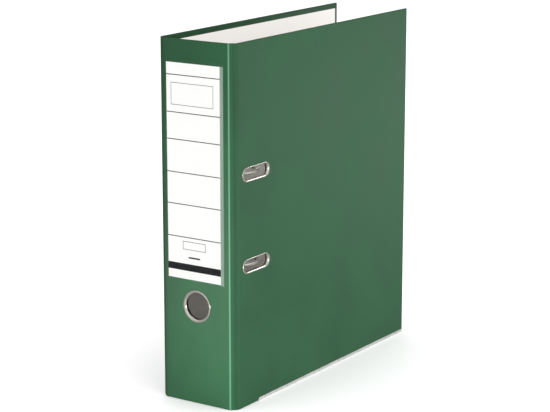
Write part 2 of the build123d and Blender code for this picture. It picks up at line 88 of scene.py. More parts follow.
# A dark colour painted as shade along the back crest.
FILM_PAINTED_SHADE = (0.004, 0.014, 0.007, 1.0)
FILM_CLOUDS = 0.018
FILM_GRAIN = 1.7
FILM_CROSS = 3.1
FILM_CROSS_STRETCH = (1.0, 1.0, 0.35)
FILM_ROUGH = (0.42, 0.54)
FILM_ROUGH_SPAN = (0.45, 0.95)
FILM_SPECULAR = 0.25
FILM_BUMP = 0.05
PAPER_FIBRES = 0.9
PAPER_ROUGH = 0.75
PAPER_SPECULAR = 0.3
PAPER_BUMP = 0.02
INK_FIBRES = 2.5
INK_LIGHTER = (1.15, 0.01)
INK_SPAN = (0.35, 0.75)
INK_ROUGH = 0.8
INK_SPECULAR = 0.1
METAL_CLOUDS = 0.15
METAL_DULLER = 0.86
METAL_SPAN = (0.25, 0.6)
METAL_ROUGH_SPREAD = (0.7, 1.35)
METAL_ROUGH_SPAN = (0.5, 1.1)
METAL_BUMP = 0.006
# Painted shade for the metal fittings: down their throats and round the finger ring's outer edge
# on the spine.
METAL_PAINTED_SHADE = (0.07, 0.06, 0.045, 1.0)
POCKET_HAZE = 0.12
POCKET_STRETCH = (1.0, 1.0, 0.2)
POCKET_TINT = (0.43, 0.57, 0.48, 1.0)
POCKET_ROUGH = (0.12, 0.2)
POCKET_SPECULAR = 0.3
POCKET_ALPHA = (0.004, 0.5)


def new_material(name):
    """A material, its node tree and its Principled shader."""
    material = bpy.data.materials.new(name)
    material.use_nodes = True
    tree = material.node_tree
    return material, tree, tree.nodes["Principled BSDF"]


def node(tree, kind, inputs=None, **settings):
    """Add one node. An input is given a value, or a socket to link from."""
    made = tree.nodes.new(kind)
    for key, value in settings.items():
        setattr(made, key, value)
    for key, value in (inputs or {}).items():
        if isinstance(value, bpy.types.NodeSocket):
            tree.links.new(value, made.inputs[key])
        else:
            made.inputs[key].default_value = value
    return made


def position(tree, stretch=(1.0, 1.0, 1.0)):
    """The object's own coordinates, in millimetres, stretched for grain that runs one way."""
    coordinates = node(tree, "ShaderNodeTexCoord").outputs["Object"]
    scale = tuple(side / MM for side in stretch)
    mapping = node(tree, "ShaderNodeMapping", {"Vector": coordinates, "Scale": scale})
    return mapping.outputs["Vector"]


def noise(tree, place, per_mm, detail=3.0, roughness=0.5):
    """Noise with that many features to the millimetre."""
    inputs = {"Vector": place, "Scale": per_mm, "Detail": detail, "Roughness": roughness}
    return node(tree, "ShaderNodeTexNoise", inputs).outputs["Fac"]


def ramp(tree, value, low, high, start=0.0, end=1.0):
    """Turn a value from start to end into a colour or a grey from low to high."""
    made = node(tree, "ShaderNodeValToRGB", {"Fac": value})
    elements = made.color_ramp.elements
    elements[0].position, elements[1].position = start, end
    elements[0].color = (*low, 1.0) if isinstance(low, tuple) else (low, low, low, 1.0)
    elements[1].color = (*high, 1.0) if isinstance(high, tuple) else (high, high, high, 1.0)
    return made.outputs["Color"]


def bump(tree, shader, height, distance_mm):
    """Link a height, in millimetres where it is one, to the shader's normal."""
    inputs = {"Height": height, "Distance": distance_mm * MM, "Strength": 1.0}
    made = node(tree, "ShaderNodeBump", inputs)
    tree.links.new(made.outputs["Normal"], shader.inputs["Normal"])


def added(tree, first, second, weight):
    """first plus weight times second."""
    made = node(tree, "ShaderNodeMath", {0: second, 1: weight, 2: first}, operation="MULTIPLY_ADD")
    return made.outputs["Value"]


def mixed(tree, share, first, second):
    """A colour that share of the way from the first to the second."""
    inputs = {"Factor": share, 6: first, 7: second}
    return node(tree, "ShaderNodeMix", inputs, data_type="RGBA").outputs[2]


def read_wear_and_painted_light(tree):
    """The mesh's own mark: above zero where the film is rubbed and given a painted highlight,
    where metal gets painted shade and where the pocket is milky; below zero where the film gets
    painted shade.
    """
    return node(tree, "ShaderNodeAttribute", attribute_name=WEAR_AND_PAINTED_LIGHT).outputs["Fac"]


def film_material():
    """Green film, finely embossed: paler over the front crest, partly rubbed film and partly a
    painted highlight, and darker over the back crest with painted shade.
    """
    material, tree, shader = new_material("cover_film")
    place = position(tree)
    cloudy = noise(tree, place, FILM_CLOUDS, detail=4.0)
    grain = noise(tree, place, FILM_GRAIN, detail=2.0)
    crossed = noise(tree, position(tree, FILM_CROSS_STRETCH), FILM_CROSS, detail=1.0)
    colour = ramp(tree, cloudy, *FILM_GREENS, *SPAN)
    # Below zero the mark darkens the film with painted shade; above zero it paints the pale crest,
    # partly wear and partly a painted highlight.
    negative = node(tree, "ShaderNodeMath", {0: read_wear_and_painted_light(tree), 1: -1.0}, operation="MULTIPLY")
    with_painted_shade = mixed(tree, negative.outputs["Value"], colour, FILM_PAINTED_SHADE)
    tree.links.new(mixed(tree, read_wear_and_painted_light(tree), with_painted_shade, FILM_PALE_WEAR_AND_HIGHLIGHT), shader.inputs["Base Color"])
    gloss = ramp(tree, added(tree, cloudy, grain, 0.4), *FILM_ROUGH, *FILM_ROUGH_SPAN)
    tree.links.new(gloss, shader.inputs["Roughness"])
    shader.inputs["Specular IOR Level"].default_value = FILM_SPECULAR
    height = added(tree, added(tree, grain, crossed, 0.5), cloudy, 2.0)
    bump(tree, shader, height, FILM_BUMP)
    return material


def paper_material(name, colour, fibre=0.03):
    """Pasted or loose paper: nearly one colour, with a faint fibre."""
    material, tree, shader = new_material(name)
    fibres = noise(tree, position(tree), PAPER_FIBRES, detail=5.0, roughness=0.7)
    low = tuple(channel * (1 - fibre) for channel in colour)
    tree.links.new(ramp(tree, fibres, low, colour, *SPAN), shader.inputs["Base Color"])
    shader.inputs["Roughness"].default_value = PAPER_ROUGH
    shader.inputs["Specular IOR Level"].default_value = PAPER_SPECULAR
    bump(tree, shader, fibres, PAPER_BUMP)
    return material


def ink_material(name, colour):
    """Matt printed ink, with the card's fibre showing."""
    material, tree, shader = new_material(name)
    fibres = noise(tree, position(tree), INK_FIBRES)
    times, plus = INK_LIGHTER
    light = tuple(channel * times + plus for channel in colour)
    tree.links.new(ramp(tree, fibres, colour, light, *INK_SPAN), shader.inputs["Base Color"])
    shader.inputs["Roughness"].default_value = INK_ROUGH
    shader.inputs["Specular IOR Level"].default_value = INK_SPECULAR
    return material


def metal_material(name, colour, rough, brushed=(1.0, 1.0, 1.0), grain=1.5):
    """Metal of slightly uneven gloss, darkened with painted shade where it is marked, its grain
    brushed one way.
    """
    material, tree, shader = new_material(name)
    shader.inputs["Metallic"].default_value = 1.0
    shader.inputs["Base Color"].default_value = (*colour, 1.0)
    strokes = noise(tree, position(tree, brushed), grain)
    clouds = noise(tree, position(tree), METAL_CLOUDS)
    dull = tuple(channel * METAL_DULLER for channel in colour)
    unshaded = ramp(tree, clouds, dull, colour, *METAL_SPAN)
    # Where marked, the metal is darkened with painted shade.
    tree.links.new(mixed(tree, read_wear_and_painted_light(tree), unshaded, METAL_PAINTED_SHADE), shader.inputs["Base Color"])
    least, most = (rough * share for share in METAL_ROUGH_SPREAD)
    gloss = ramp(tree, added(tree, strokes, clouds, 0.6), least, most, *METAL_ROUGH_SPAN)
    tree.links.new(gloss, shader.inputs["Roughness"])
    bump(tree, shader, strokes, METAL_BUMP)
    return material


def pocket_material():
    """Clear soft film, milky where its wear mark says."""
    material, tree, shader = new_material("clear_pocket")
    haze = noise(tree, position(tree, POCKET_STRETCH), POCKET_HAZE)
    tree.links.new(ramp(tree, haze, *POCKET_ROUGH, *SPAN), shader.inputs["Roughness"])
    shader.inputs["Base Color"].default_value = POCKET_TINT
    shader.inputs["Specular IOR Level"].default_value = POCKET_SPECULAR
    tree.links.new(ramp(tree, read_wear_and_painted_light(tree), *POCKET_ALPHA), shader.inputs["Alpha"])
    return material


FILM = film_material()
BOARD = paper_material("grey_board", (0.34, 0.31, 0.27), fibre=0.3)
LINING = paper_material("white_lining", (0.69, 0.67, 0.64))
CARD = paper_material("label_card", (0.93, 0.925, 0.91), fibre=0.015)
INK_BLACK = ink_material("ink_black", (0.012, 0.012, 0.014))
INK_GREY = ink_material("ink_grey", (0.045, 0.045, 0.05))
NICKEL = metal_material("nickel", (0.56, 0.55, 0.49), 0.14)
GUARD = metal_material("guard_steel", (0.95, 0.95, 0.92), 0.45, (1.0, 0.03, 1.0))
SPRING = metal_material("spring_steel", (0.42, 0.41, 0.39), 0.3, grain=3.0)
ROLLER = metal_material("roller_steel", (0.50, 0.49, 0.47), 0.28, (1.0, 0.1, 1.0), grain=3.0)
POCKET = pocket_material()
BY_SLOT = {
    "cover_film": FILM, "grey_board": BOARD, "white_lining": LINING, "label_card": CARD,
    "nickel": NICKEL, "guard_steel": GUARD, "spring_steel": SPRING, "roller_steel": ROLLER,
    "clear_pocket": POCKET,
}

# ---------------------------------------------------------------- building pieces

# Edges sharper than these angles stay sharp, in degrees.
PLAIN_UNDER = 35.0
FITTING_UNDER = 40.0
ROUND_UNDER = 50.0
POCKET_UNDER = 60.0
FLAT_UNDER = 80.0


def piece(name, points, faces, slot, materials=None, smooth_under=PLAIN_UNDER):
    """A mesh object from points and faces, its faces turned outwards and its edges shaded."""
    mesh = bpy.data.meshes.new(name)
    mesh.from_pydata([tuple(point) for point in points], [], faces)
    shape = bmesh.new()
    shape.from_mesh(mesh)
    bmesh.ops.recalc_face_normals(shape, faces=shape.faces)
    shape.to_mesh(mesh)
    shape.free()
    made = bpy.data.objects.new(name, mesh)
    bpy.context.scene.collection.objects.link(made)
    for material in materials or [BY_SLOT[slot]]:
        mesh.materials.append(material)
    smooth(made, smooth_under)
    return made


def smooth(made, under):
    """Smooth shading, with edges sharper than the given angle kept sharp."""
    for face in made.data.polygons:
        face.use_smooth = True
    made.data.set_sharp_from_angle(angle=math.radians(under))


def mark(made, wear):
    """Give a mesh its mark of wear and painted light, a number for each of its points."""
    made.data.attributes.new(WEAR_AND_PAINTED_LIGHT, "FLOAT", "POINT").data.foreach_set("value", wear)


def swept(loops, closed=False):
    """Points and faces of a tube through loops of equal length, capped unless it closes."""
    count = len(loops[0])
    points = [point for loop in loops for point in loop]
    faces = []
    rows = len(loops) if closed else len(loops) - 1
    for row in range(rows):
        after = (row + 1) % len(loops)
        for i in range(count):
            k = (i + 1) % count
            faces.append((row * count + i, row * count + k, after * count + k, after * count + i))
    if not closed:
        faces.append(tuple(range(count)))
        faces.append(tuple((len(loops) - 1) * count + i for i in reversed(range(count))))
    return points, faces


def sheet_faces(wide, tall):
    """Faces of a thin sheet of wide by tall points a side: its cells, front and back, and rim."""
    size = wide * tall
    faces = []
    for row in range(tall - 1):
        for column in range(wide - 1):
            first = row * wide + column
            cell = (first, first + 1, first + wide + 1, first + wide)
            faces += [cell, tuple(corner + size for corner in reversed(cell))]
    rim = list(range(wide)) + [row * wide + wide - 1 for row in range(1, tall)]
    rim += [size - wide + column for column in range(wide - 2, -1, -1)]
    rim += [row * wide for row in range(tall - 2, 0, -1)]
    for first, second in zip(rim, rim[1:] + rim[:1]):
        faces.append((first, second, second + size, first + size))
    return faces


def arc(centre, radius, start, end, steps):
    """Points of a flat arc, its angles in degrees."""
    angles = [math.radians(start + (end - start) * i / steps) for i in range(steps + 1)]
    return [(centre[0] + radius * math.cos(a), centre[1] + radius * math.sin(a)) for a in angles]


def apply_modifiers(made):
    """Apply a piece's modifiers to its mesh."""
    graph = bpy.context.evaluated_depsgraph_get()
    mesh = bpy.data.meshes.new_from_object(made.evaluated_get(graph))
    made.modifiers.clear()
    made.data = mesh


def cut(made, cutters):
    """Take closed cutters away from a piece, and remove them."""
    for cutter in cutters:
        modifier = made.modifiers.new("cut", "BOOLEAN")
        modifier.operation = "DIFFERENCE"
        modifier.solver = "EXACT"
        modifier.object = cutter
    apply_modifiers(made)
    for cutter in cutters:
        bpy.data.objects.remove(cutter)


def flat_shading(made):
    """Keep large flat faces flat up to their rounded edges."""
    smooth(made, FLAT_UNDER)
    modifier = made.modifiers.new("normals", "WEIGHTED_NORMAL")
    modifier.keep_sharp = True
    apply_modifiers(made)


# ---------------------------------------------------------------- the case

# Depths below the case's outer face: the film, the board's inside, the turned film and the lining.
SKIN = 0.2
CASE = 2.1
EDGE = 2.3
WALL = 2.25
EDGE_ROUND = 0.55
CORNER_STEPS = 4
CREST_ROUND = 2.2
# The front crest's pale band, partly rubbed film and partly a painted highlight: its width in
# millimetres and how it fades.
CREST_WEAR_AND_HIGHLIGHT = 1.0
CREST_FADE = 0.5
# Painted shade along the back crest, the side turned from the light: its strength, reach in
# millimetres and fade.
BACK_CREST_PAINTED_SHADE = -0.5
BACK_SHADE_REACH = 4.6
BACK_SHADE_FADE = 0.3
CLOSE_STEPS = (0.0, 0.12, 0.25, 0.4, 0.6, 0.8, 1.0, 1.2, 1.4, 1.8, 2.4, 3.0)
LEAST_STEP = 0.04
SAME_PLACE = 0.01
CLEAR = 1.0
TAN_HALF = math.tan(math.radians(22.5))
MITRE_REACH = 3.0
RIGID_FROM = 4.0
TURN_HOLD = 0.25
SLOT_CUT = (36.4, 11.0)
RING_CUT = 12.1
CUT_PAST = 5.0
STADIUM_STEPS = 16
ROUND_STEPS = 48
EYELETS = ("eyelet_lower", "eyelet_upper")
CASE_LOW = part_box("back_film")[0].z / MM
CASE_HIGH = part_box("back_film")[1].z / MM
LINING_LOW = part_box("back_lining")[0].z / MM
LINING_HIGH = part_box("back_lining")[1].z / MM
FORE_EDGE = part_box("back_film")[1].y / MM
FORE_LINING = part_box("back_lining")[1].y / MM


def corner(name):
    """A crease's place across and along the file, in millimetres."""
    x, y, _ = joints[name]["pos_m"]
    return Vector((x / MM, y / MM))


BACK_EDGE = Vector((corner("back_fold").x, FORE_EDGE))
FRONT_EDGE = Vector((corner("cover_fold").x, FORE_EDGE))
CORNERS = [
    BACK_EDGE, corner("back_fold"), corner("spine_fold"), corner("front_fold"),
    corner("cover_fold"), FRONT_EDGE,
]
BACK_COVER, BACK_STRIP, SPINE, FRONT_STRIP, FRONT_COVER = range(5)
LENGTHS = [(b - a).length for a, b in zip(CORNERS, CORNERS[1:])]
STRIP = LENGTHS[FRONT_STRIP]
MID_GROOVE = 0.42 * STRIP
SPINE_FACE = CORNERS[2].y
COVER_FACE = CORNERS[5].x

# Pressed grooves: panel, distance along it, depth and half width. A crease's groove is on both of
# its panels.
CREASE_PRESS = (0.6, 1.35)
STRIP_PRESS = (0.5, 1.2)
GROOVES = [
    (BACK_COVER, LENGTHS[BACK_COVER], *CREASE_PRESS), (BACK_STRIP, 0.0, *CREASE_PRESS),
    (BACK_STRIP, STRIP - MID_GROOVE, *STRIP_PRESS), (FRONT_STRIP, MID_GROOVE, *STRIP_PRESS),
    (FRONT_STRIP, STRIP, *CREASE_PRESS), (FRONT_COVER, 0.0, *CREASE_PRESS),
]
CRESTS = [(BACK_STRIP, STRIP), (SPINE, 0.0), (SPINE, LENGTHS[SPINE]), (FRONT_STRIP, 0.0)]


def sunk(panel, along):
    """How deep the film's outer face lies below the panel's plane."""
    depth = 0.0
    for where, at, deep, half in GROOVES:
        away = abs(along - at)
        if where == panel and away < half:
            depth += deep * math.cos(math.pi / 2 * away / half) ** 2
    for where, at in CRESTS:
        past = CREST_ROUND * TAN_HALF - abs(along - at)
        if where == panel and past > 0:
            depth += CREST_ROUND - math.sqrt(CREST_ROUND**2 - past**2)
    return depth


def on_blank(panel, along, depth, height):
    """A point of the case, from its panel, its distance along it, its depth and its height."""
    start, end = CORNERS[panel], CORNERS[panel + 1]
    direction = (end - start).normalized()
    inward = Vector((-direction.y, direction.x))
    mitre = depth * TAN_HALF
    if panel != BACK_COVER:
        along += mitre * max(0.0, 1 - along / MITRE_REACH)
    if panel != FRONT_COVER:
        along -= mitre * max(0.0, 1 - (LENGTHS[panel] - along) / MITRE_REACH)
    flat = start + direction * along + inward * depth
    return Vector((flat.x, flat.y, height)) * MM


def turned_profile(skin):
    """The film's section, depth and height: outer face, both rounded edges and both turn-ins."""
    low, high, r, hold = CASE_LOW, CASE_HIGH, EDGE_ROUND, TURN_HOLD
    outside = [(EDGE, LINING_LOW), (EDGE, low + r + hold)]
    outside += arc((EDGE - r, low + r), r, 0, -90, CORNER_STEPS)
    outside += arc((skin + r, low + r), r, 270, 180, CORNER_STEPS)
    outside += [(skin, low + r + hold), (skin, high - r - hold)]
    outside += arc((skin + r, high - r), r, 180, 90, CORNER_STEPS)
    outside += arc((EDGE - r, high - r), r, 90, 0, CORNER_STEPS)
    outside += [(EDGE, high - r - hold), (EDGE, LINING_HIGH)]
    inner = skin + SKIN
    inside = [
        (CASE, LINING_HIGH), (CASE, high - SKIN), (inner, high - SKIN), (inner, low + SKIN),
        (CASE, low + SKIN), (CASE, LINING_LOW),
    ]
    return outside + inside


def lining_profile(_):
    """The lining's section between the film's turned edges."""
    return [(CASE, LINING_LOW), (CASE, LINING_HIGH), (WALL, LINING_HIGH), (WALL, LINING_LOW)]


def stations(panel, start, end):
    """Distances along a panel, closer together where the film is pressed or rounded."""
    places = {start, end}
    near = [at for where, at, _, _ in GROOVES if where == panel]
    near += [at for where, at in CRESTS if where == panel]
    for at in near:
        places |= {at + sign * step for step in CLOSE_STEPS for sign in (-1, 1)}
    within = sorted(place for place in places if start <= place <= end)
    return [at for i, at in enumerate(within) if i == 0 or at - within[i - 1] > LEAST_STEP]


def on_back_edge(panel, along):
    """Whether a place is on the back cover's half of the blank."""
    return panel < SPINE or (panel == SPINE and along < LENGTHS[SPINE] / 2)


def crest_wear_and_painted_light(panel, along):
    """The film's mark: paler over the front crest, partly film stretched and rubbed there and
    partly a painted highlight, and painted shade at the back crest.
    """
    away = min([abs(along - at) for where, at in CRESTS if where == panel], default=math.inf)
    if on_back_edge(panel, along):
        return BACK_CREST_PAINTED_SHADE * max(0.0, 1.0 - away / BACK_SHADE_REACH) ** BACK_SHADE_FADE
    return max(0.0, 1.0 - away / CREST_WEAR_AND_HIGHLIGHT) ** CREST_FADE


def case_strip(name, spans, profile, slot):
    """A piece of the case that follows the blank over some spans of its panels."""
    loops, wear = [], []
    for panel, start, end in spans:
        for along in stations(panel, start, end):
            section = profile(sunk(panel, along))
            loop = [on_blank(panel, along, depth, height) for depth, height in section]
            if not loops or (loop[0] - loops[-1][0]).length > SAME_PLACE * MM:
                loops.append(loop)
                wear += [crest_wear_and_painted_light(panel, along)] * len(section)
    points, faces = swept(loops)
    made = piece(name, points, faces, slot, smooth_under=ROUND_UNDER)
    mark(made, wear)
    return made


def crease_spans(panel):
    """What a crease piece covers: from the rigid part of one panel to the next one's."""
    half = STRIP / 2
    before = half if panel in (BACK_STRIP, FRONT_STRIP) else LENGTHS[panel] - RIGID_FROM
    after = half if panel + 1 in (BACK_STRIP, FRONT_STRIP) else RIGID_FROM
    return [(panel, before, LENGTHS[panel]), (panel + 1, 0.0, after)]


CREASE_NODES = ["back_hinge", "back_hinge", "front_hinge", "front_hinge"]
CREASE_NAMES = ["back_cover", "back_spine", "front_spine", "front_cover"]


def crease(panel):
    """The film and the lining over one crease, bending between its two panels."""
    for kind, profile, slot in (
        ("film", turned_profile, "cover_film"), ("lining", lining_profile, "white_lining"),
    ):
        name = f"{CREASE_NAMES[panel]}_crease_{kind}"
        made = case_strip(name, crease_spans(panel), profile, slot)
        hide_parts(f"{CREASE_NODES[panel]}_{kind}")
        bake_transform(made)


def block(name, low, high, rounding=0.0, keep=None):
    """A closed box between two corners in millimetres, its edges rounded where keep says so."""
    xs, ys, zs = [(a * MM, b * MM) for a, b in zip(low, high)]
    shape = bmesh.new()
    bmesh.ops.create_cube(shape, size=1.0)
    for vertex in shape.verts:
        pick = [int(coordinate > 0) for coordinate in vertex.co]
        vertex.co = (xs[pick[0]], ys[pick[1]], zs[pick[2]])
    if rounding:
        edges = [edge for edge in shape.edges if keep is None or keep(edge)]
        bmesh.ops.bevel(
            shape, geom=edges, offset=rounding * MM, segments=CORNER_STEPS, profile=0.5,
            affect="EDGES",
        )
    mesh = bpy.data.meshes.new(name)
    shape.to_mesh(mesh)
    shape.free()
    made = bpy.data.objects.new(name, mesh)
    bpy.context.scene.collection.objects.link(made)
    return made


def stadium(length, width):
    """The outline of a straight-sided, round-ended slot."""
    radius, half = width / 2, (length - width) / 2
    outline = arc((half, 0.0), radius, -90, 90, STADIUM_STEPS)
    return outline + arc((-half, 0.0), radius, 90, 270, STADIUM_STEPS)


def slot_cutter(node_name):
    """A prism through the front cover where an eyelet sits."""
    middle = (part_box(node_name)[0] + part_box(node_name)[1]) / 2
    loops = []
    for x in (COVER_FACE - CUT_PAST, COVER_FACE + CUT_PAST):
        loops.append([
            Vector((x * MM, middle.y + y * MM, middle.z + z * MM)) for y, z in stadium(*SLOT_CUT)
        ])
    return piece("slot", *swept(loops), "cover_film")


def cover_film(name, side, node_name, body, cutters=()):
    """One cover's film: a rounded shell over the board, open inside as far as its turned edges."""
    crease_y = corner("back_fold").y + RIGID_FROM
    xs = sorted((side * COVER_FACE, side * (COVER_FACE - EDGE)))
    core_xs = sorted((side * (COVER_FACE - SKIN), side * (COVER_FACE - CASE)))
    window_xs = sorted((side * (COVER_FACE - CASE), side * (COVER_FACE - 2 * EDGE)))

    def away_from_crease(edge):
        return any(vertex.co.y > (crease_y + CLEAR) * MM for vertex in edge.verts)

    made = block(
        name, (xs[0], crease_y, CASE_LOW), (xs[1], FORE_EDGE, CASE_HIGH),
        rounding=EDGE_ROUND, keep=away_from_crease,
    )
    core = block(
        "core", (core_xs[0], crease_y - CLEAR, CASE_LOW + SKIN),
        (core_xs[1], FORE_EDGE - SKIN, CASE_HIGH - SKIN),
    )
    window = block(
        "window", (window_xs[0], crease_y - 2 * CLEAR, LINING_LOW),
        (window_xs[1], FORE_LINING, LINING_HIGH),
    )
    made.data.materials.append(FILM)
    cut(made, [core, window, *cutters])
    flat_shading(made)
    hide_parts(node_name)
    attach(made, body)


def case():
    """The covered case: two covers, the spine and four creases."""
    slots = [slot_cutter(name) for name in EYELETS]
    cover_film("front_cover_film", 1, "front_film", "front_cover", slots)
    cover_film("back_cover_film", -1, "back_film", "back_cover")
    span = (SPINE, RIGID_FROM, LENGTHS[SPINE] - RIGID_FROM)
    spine = case_strip("spine_cover_film", [span], turned_profile, "cover_film")
    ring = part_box("finger_ring")
    centre = (ring[0] + ring[1]) / 2
    loops = []
    steps = ROUND_STEPS - 1
    circle = arc((0, 0), RING_CUT, 0, 360 * steps / ROUND_STEPS, steps)
    for y in (SPINE_FACE - CUT_PAST, SPINE_FACE + CUT_PAST):
        loops.append([
            Vector((centre.x + a * MM, y * MM, centre.z + b * MM)) for a, b in circle
        ])
    cut(spine, [piece("hole", *swept(loops), "cover_film")])
    flat_shading(spine)
    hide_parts("spine_film")
    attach(spine, "spine")
    for panel in range(4):
        crease(panel)


case()

# ---------------------------------------------------------------- label and pocket


def box_mm(name):
    """A CAD node's lowest and highest corners in millimetres."""
    low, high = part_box(name)
    return low / MM, high / MM


# Places on the label in millimetres: heights, or left, right, bottom and top.
RULE_HEIGHTS = (287.6, 255.5, 232.2, 203.8, 176.2, 147.6)
RULE_HALF = 0.4
BAND = (118.0, 124.2)
TITLE_FIELD = (-25.0, 19.0, 261.8, 281.0)
NUMBER_FIELD = (-14.0, 9.9, 136.8, 144.1)
FIELD_LINE = 0.45
MARK = (-8.0, 4.0, 129.3, 130.7)
PLAIN, BLACK, GREY = range(3)


def inside(x, z, field, margin=0.0):
    """Whether a place on the label is inside a rectangle, a margin in from its sides."""
    left, right, bottom, top = field
    return left + margin < x < right - margin and bottom + margin < z < top - margin


def ink_at(x, z):
    """Which of the label's materials shows at a place: plain card, black or grey."""
    if BAND[0] < z < BAND[1] or inside(x, z, MARK):
        return BLACK
    if any(abs(z - rule) < RULE_HALF for rule in RULE_HEIGHTS):
        return GREY
    for field in (TITLE_FIELD, NUMBER_FIELD):
        if inside(x, z, field) and not inside(x, z, field, FIELD_LINE):
            return GREY
    return PLAIN


def label():
    """The card label, its printed lines, band and fields cut into its face as cells."""
    low, high = box_mm("spine_label")
    xs, zs = {low.x, high.x}, {low.z, high.z, *BAND}
    for rule in RULE_HEIGHTS:
        zs |= {rule - RULE_HALF, rule + RULE_HALF}
    for left, right, bottom, top in (TITLE_FIELD, NUMBER_FIELD, MARK):
        xs |= {left, left + FIELD_LINE, right - FIELD_LINE, right}
        zs |= {bottom, bottom + FIELD_LINE, top - FIELD_LINE, top}
    xs, zs = sorted(xs), sorted(zs)
    points = [Vector((x, y, z)) * MM for y in (low.y, high.y) for z in zs for x in xs]
    faces = sheet_faces(len(xs), len(zs))
    inks = []
    for bottom, top in zip(zs, zs[1:]):
        for left, right in zip(xs, xs[1:]):
            inks += [ink_at((left + right) / 2, (bottom + top) / 2), PLAIN]
    inks += [PLAIN] * (len(faces) - len(inks))
    made = piece("label_card", points, faces, "label_card", [CARD, INK_BLACK, INK_GREY])
    made.data.polygons.foreach_set("material_index", inks)
    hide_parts("spine_label")
    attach(made, "label")


POCKET_SHEET = 0.15
POCKET_WELD = 0.6
POCKET_RISE = 1.6
POCKET_STEPS = 24
END_STEPS = (0.0, 0.3, 0.6, 0.8, 1.0, 1.3, 1.7, 2.2)
CARD_STEP = 0.1
MILKY_BESIDE = 0.9
MILKY_ABOVE = 0.1
MILKY_WELD = 0.2
MILKY_WELD_REACH = 0.7


def lift(x, z, low, high):
    """How far the pocket's back stands off the spine at a place."""
    near = min(x - low.x, high.x - x, z - low.z) - POCKET_WELD
    share = min(1.0, max(0.0, near / POCKET_RISE))
    return (high.y - low.y - POCKET_SHEET) * share * share * (3 - 2 * share)


def milky(x, z, low, card):
    """How milky the sheet is: clear over the card, cloudy on the wide weld beside it."""
    if x > card.x:
        return MILKY_BESIDE if z < card.z else MILKY_ABOVE
    return MILKY_WELD if min(x - low.x, z - low.z) < MILKY_WELD_REACH else 0.0


def pocket():
    """The clear sheet over the label, pressed down and welded at its sides and bottom."""
    low, high = box_mm("label_pocket")
    card = box_mm("spine_label")[1]
    xs = [low.x + step for step in END_STEPS] + [card.x - CARD_STEP, card.x + CARD_STEP]
    xs += [high.x - step for step in reversed(END_STEPS)]
    zs = [low.z + step for step in END_STEPS]
    start, run = zs[-1], card.z - 2 * CARD_STEP - zs[-1]
    zs += [start + run * (i + 1) / POCKET_STEPS for i in range(POCKET_STEPS)]
    zs += [card.z + CARD_STEP, high.z]
    points, wear = [], []
    for offset in (0.0, POCKET_SHEET):
        for z in zs:
            points += [Vector((x, high.y - lift(x, z, low, high) - offset, z)) * MM for x in xs]
            wear += [milky(x, z, low, card) for x in xs]
    faces = sheet_faces(len(xs), len(zs))
    made = piece("clear_pocket", points, faces, "clear_pocket", smooth_under=POCKET_UNDER)
    mark(made, wear)
    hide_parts("label_pocket")
    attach(made, "spine")


label()
pocket()

# ---------------------------------------------------------------- pressed metal fittings

# Sizes in millimetres, heights above the face the fitting sits on, and the marks of its painted
# shade.
RING_BORE = 11.4
RING_METAL = 0.45
RING_THROAT = 2.0
RING_STEPS = 72
RING_EDGE_SHADE = 0.15
SLOT_SIZE = (35.0, 9.6)
EYELET_METAL = 0.4
EYELET_THROAT = 2.1
EYELET_PAINTED_SHADE = 0.85
RING_SHADE_BELOW = -1.0
EYELET_SHADE_BELOW = -1.2
LIP_ROUND = 0.8
LIP_STEPS = 5
THROAT_STEPS = 6
TAIL_RISE = 0.6
TAIL_CURL = 0.9
TAIL_TURN = 250
TAIL_LEAN = 0.1
TAIL_METAL = 0.8


def rounded_flange(inner, outer, proud, through, metal, throat):
    """A pressed flange's section: distance out from the hole's edge and height above the face."""
    lip = min(LIP_ROUND, proud)
    outside = arc((outer - lip, proud - lip), lip, 0, 90, LIP_STEPS)
    outside += arc((inner + throat, proud - throat), throat, 90, 180, THROAT_STEPS)
    outside += [(inner, -through + TAIL_RISE)]
    curl = (inner + TAIL_CURL, -through + TAIL_RISE)
    outside += arc(curl, TAIL_CURL, 180, TAIL_TURN, CORNER_STEPS)
    tail = outside[-1]
    back = [
        (tail[0] + TAIL_LEAN, tail[1] + metal * TAIL_METAL), (inner + metal, -through + TAIL_CURL),
        (inner + metal, proud - throat),
    ]
    back += arc((inner + throat, proud - throat), throat - metal, 180, 90, CORNER_STEPS)
    back += [(outer - lip, proud - metal), (outer - metal, 0.0)]
    return outside + back


def ring():
    """The finger ring, pressed from one sheet, its edge rolled down onto the spine."""
    low, high = box_mm("finger_ring")
    centre = (low + high) / 2
    outer, proud, through = (high.x - low.x) / 2, SPINE_FACE - low.y, high.y - SPINE_FACE
    section = rounded_flange(RING_BORE, outer, proud, through, RING_METAL, RING_THROAT)
    loops = []
    for i in range(RING_STEPS):
        angle = 2 * math.pi * i / RING_STEPS
        across, up = math.cos(angle), math.sin(angle)
        loops.append([
            Vector((centre.x + r * across, SPINE_FACE - rise, centre.z + r * up)) * MM
            for r, rise in section
        ])
    points, faces = swept(loops, closed=True)
    made = piece("finger_ring_rolled", points, faces, "nickel", smooth_under=FITTING_UNDER)
    # Painted shade down the ring's throat, and a painted contact shadow round its outer edge.
    edge = section[0][0] - RING_EDGE_SHADE
    painted_shade = [float(rise < RING_SHADE_BELOW or r > edge) for r, rise in section]
    mark(made, painted_shade * RING_STEPS)
    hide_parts("finger_ring")
    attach(made, "spine")


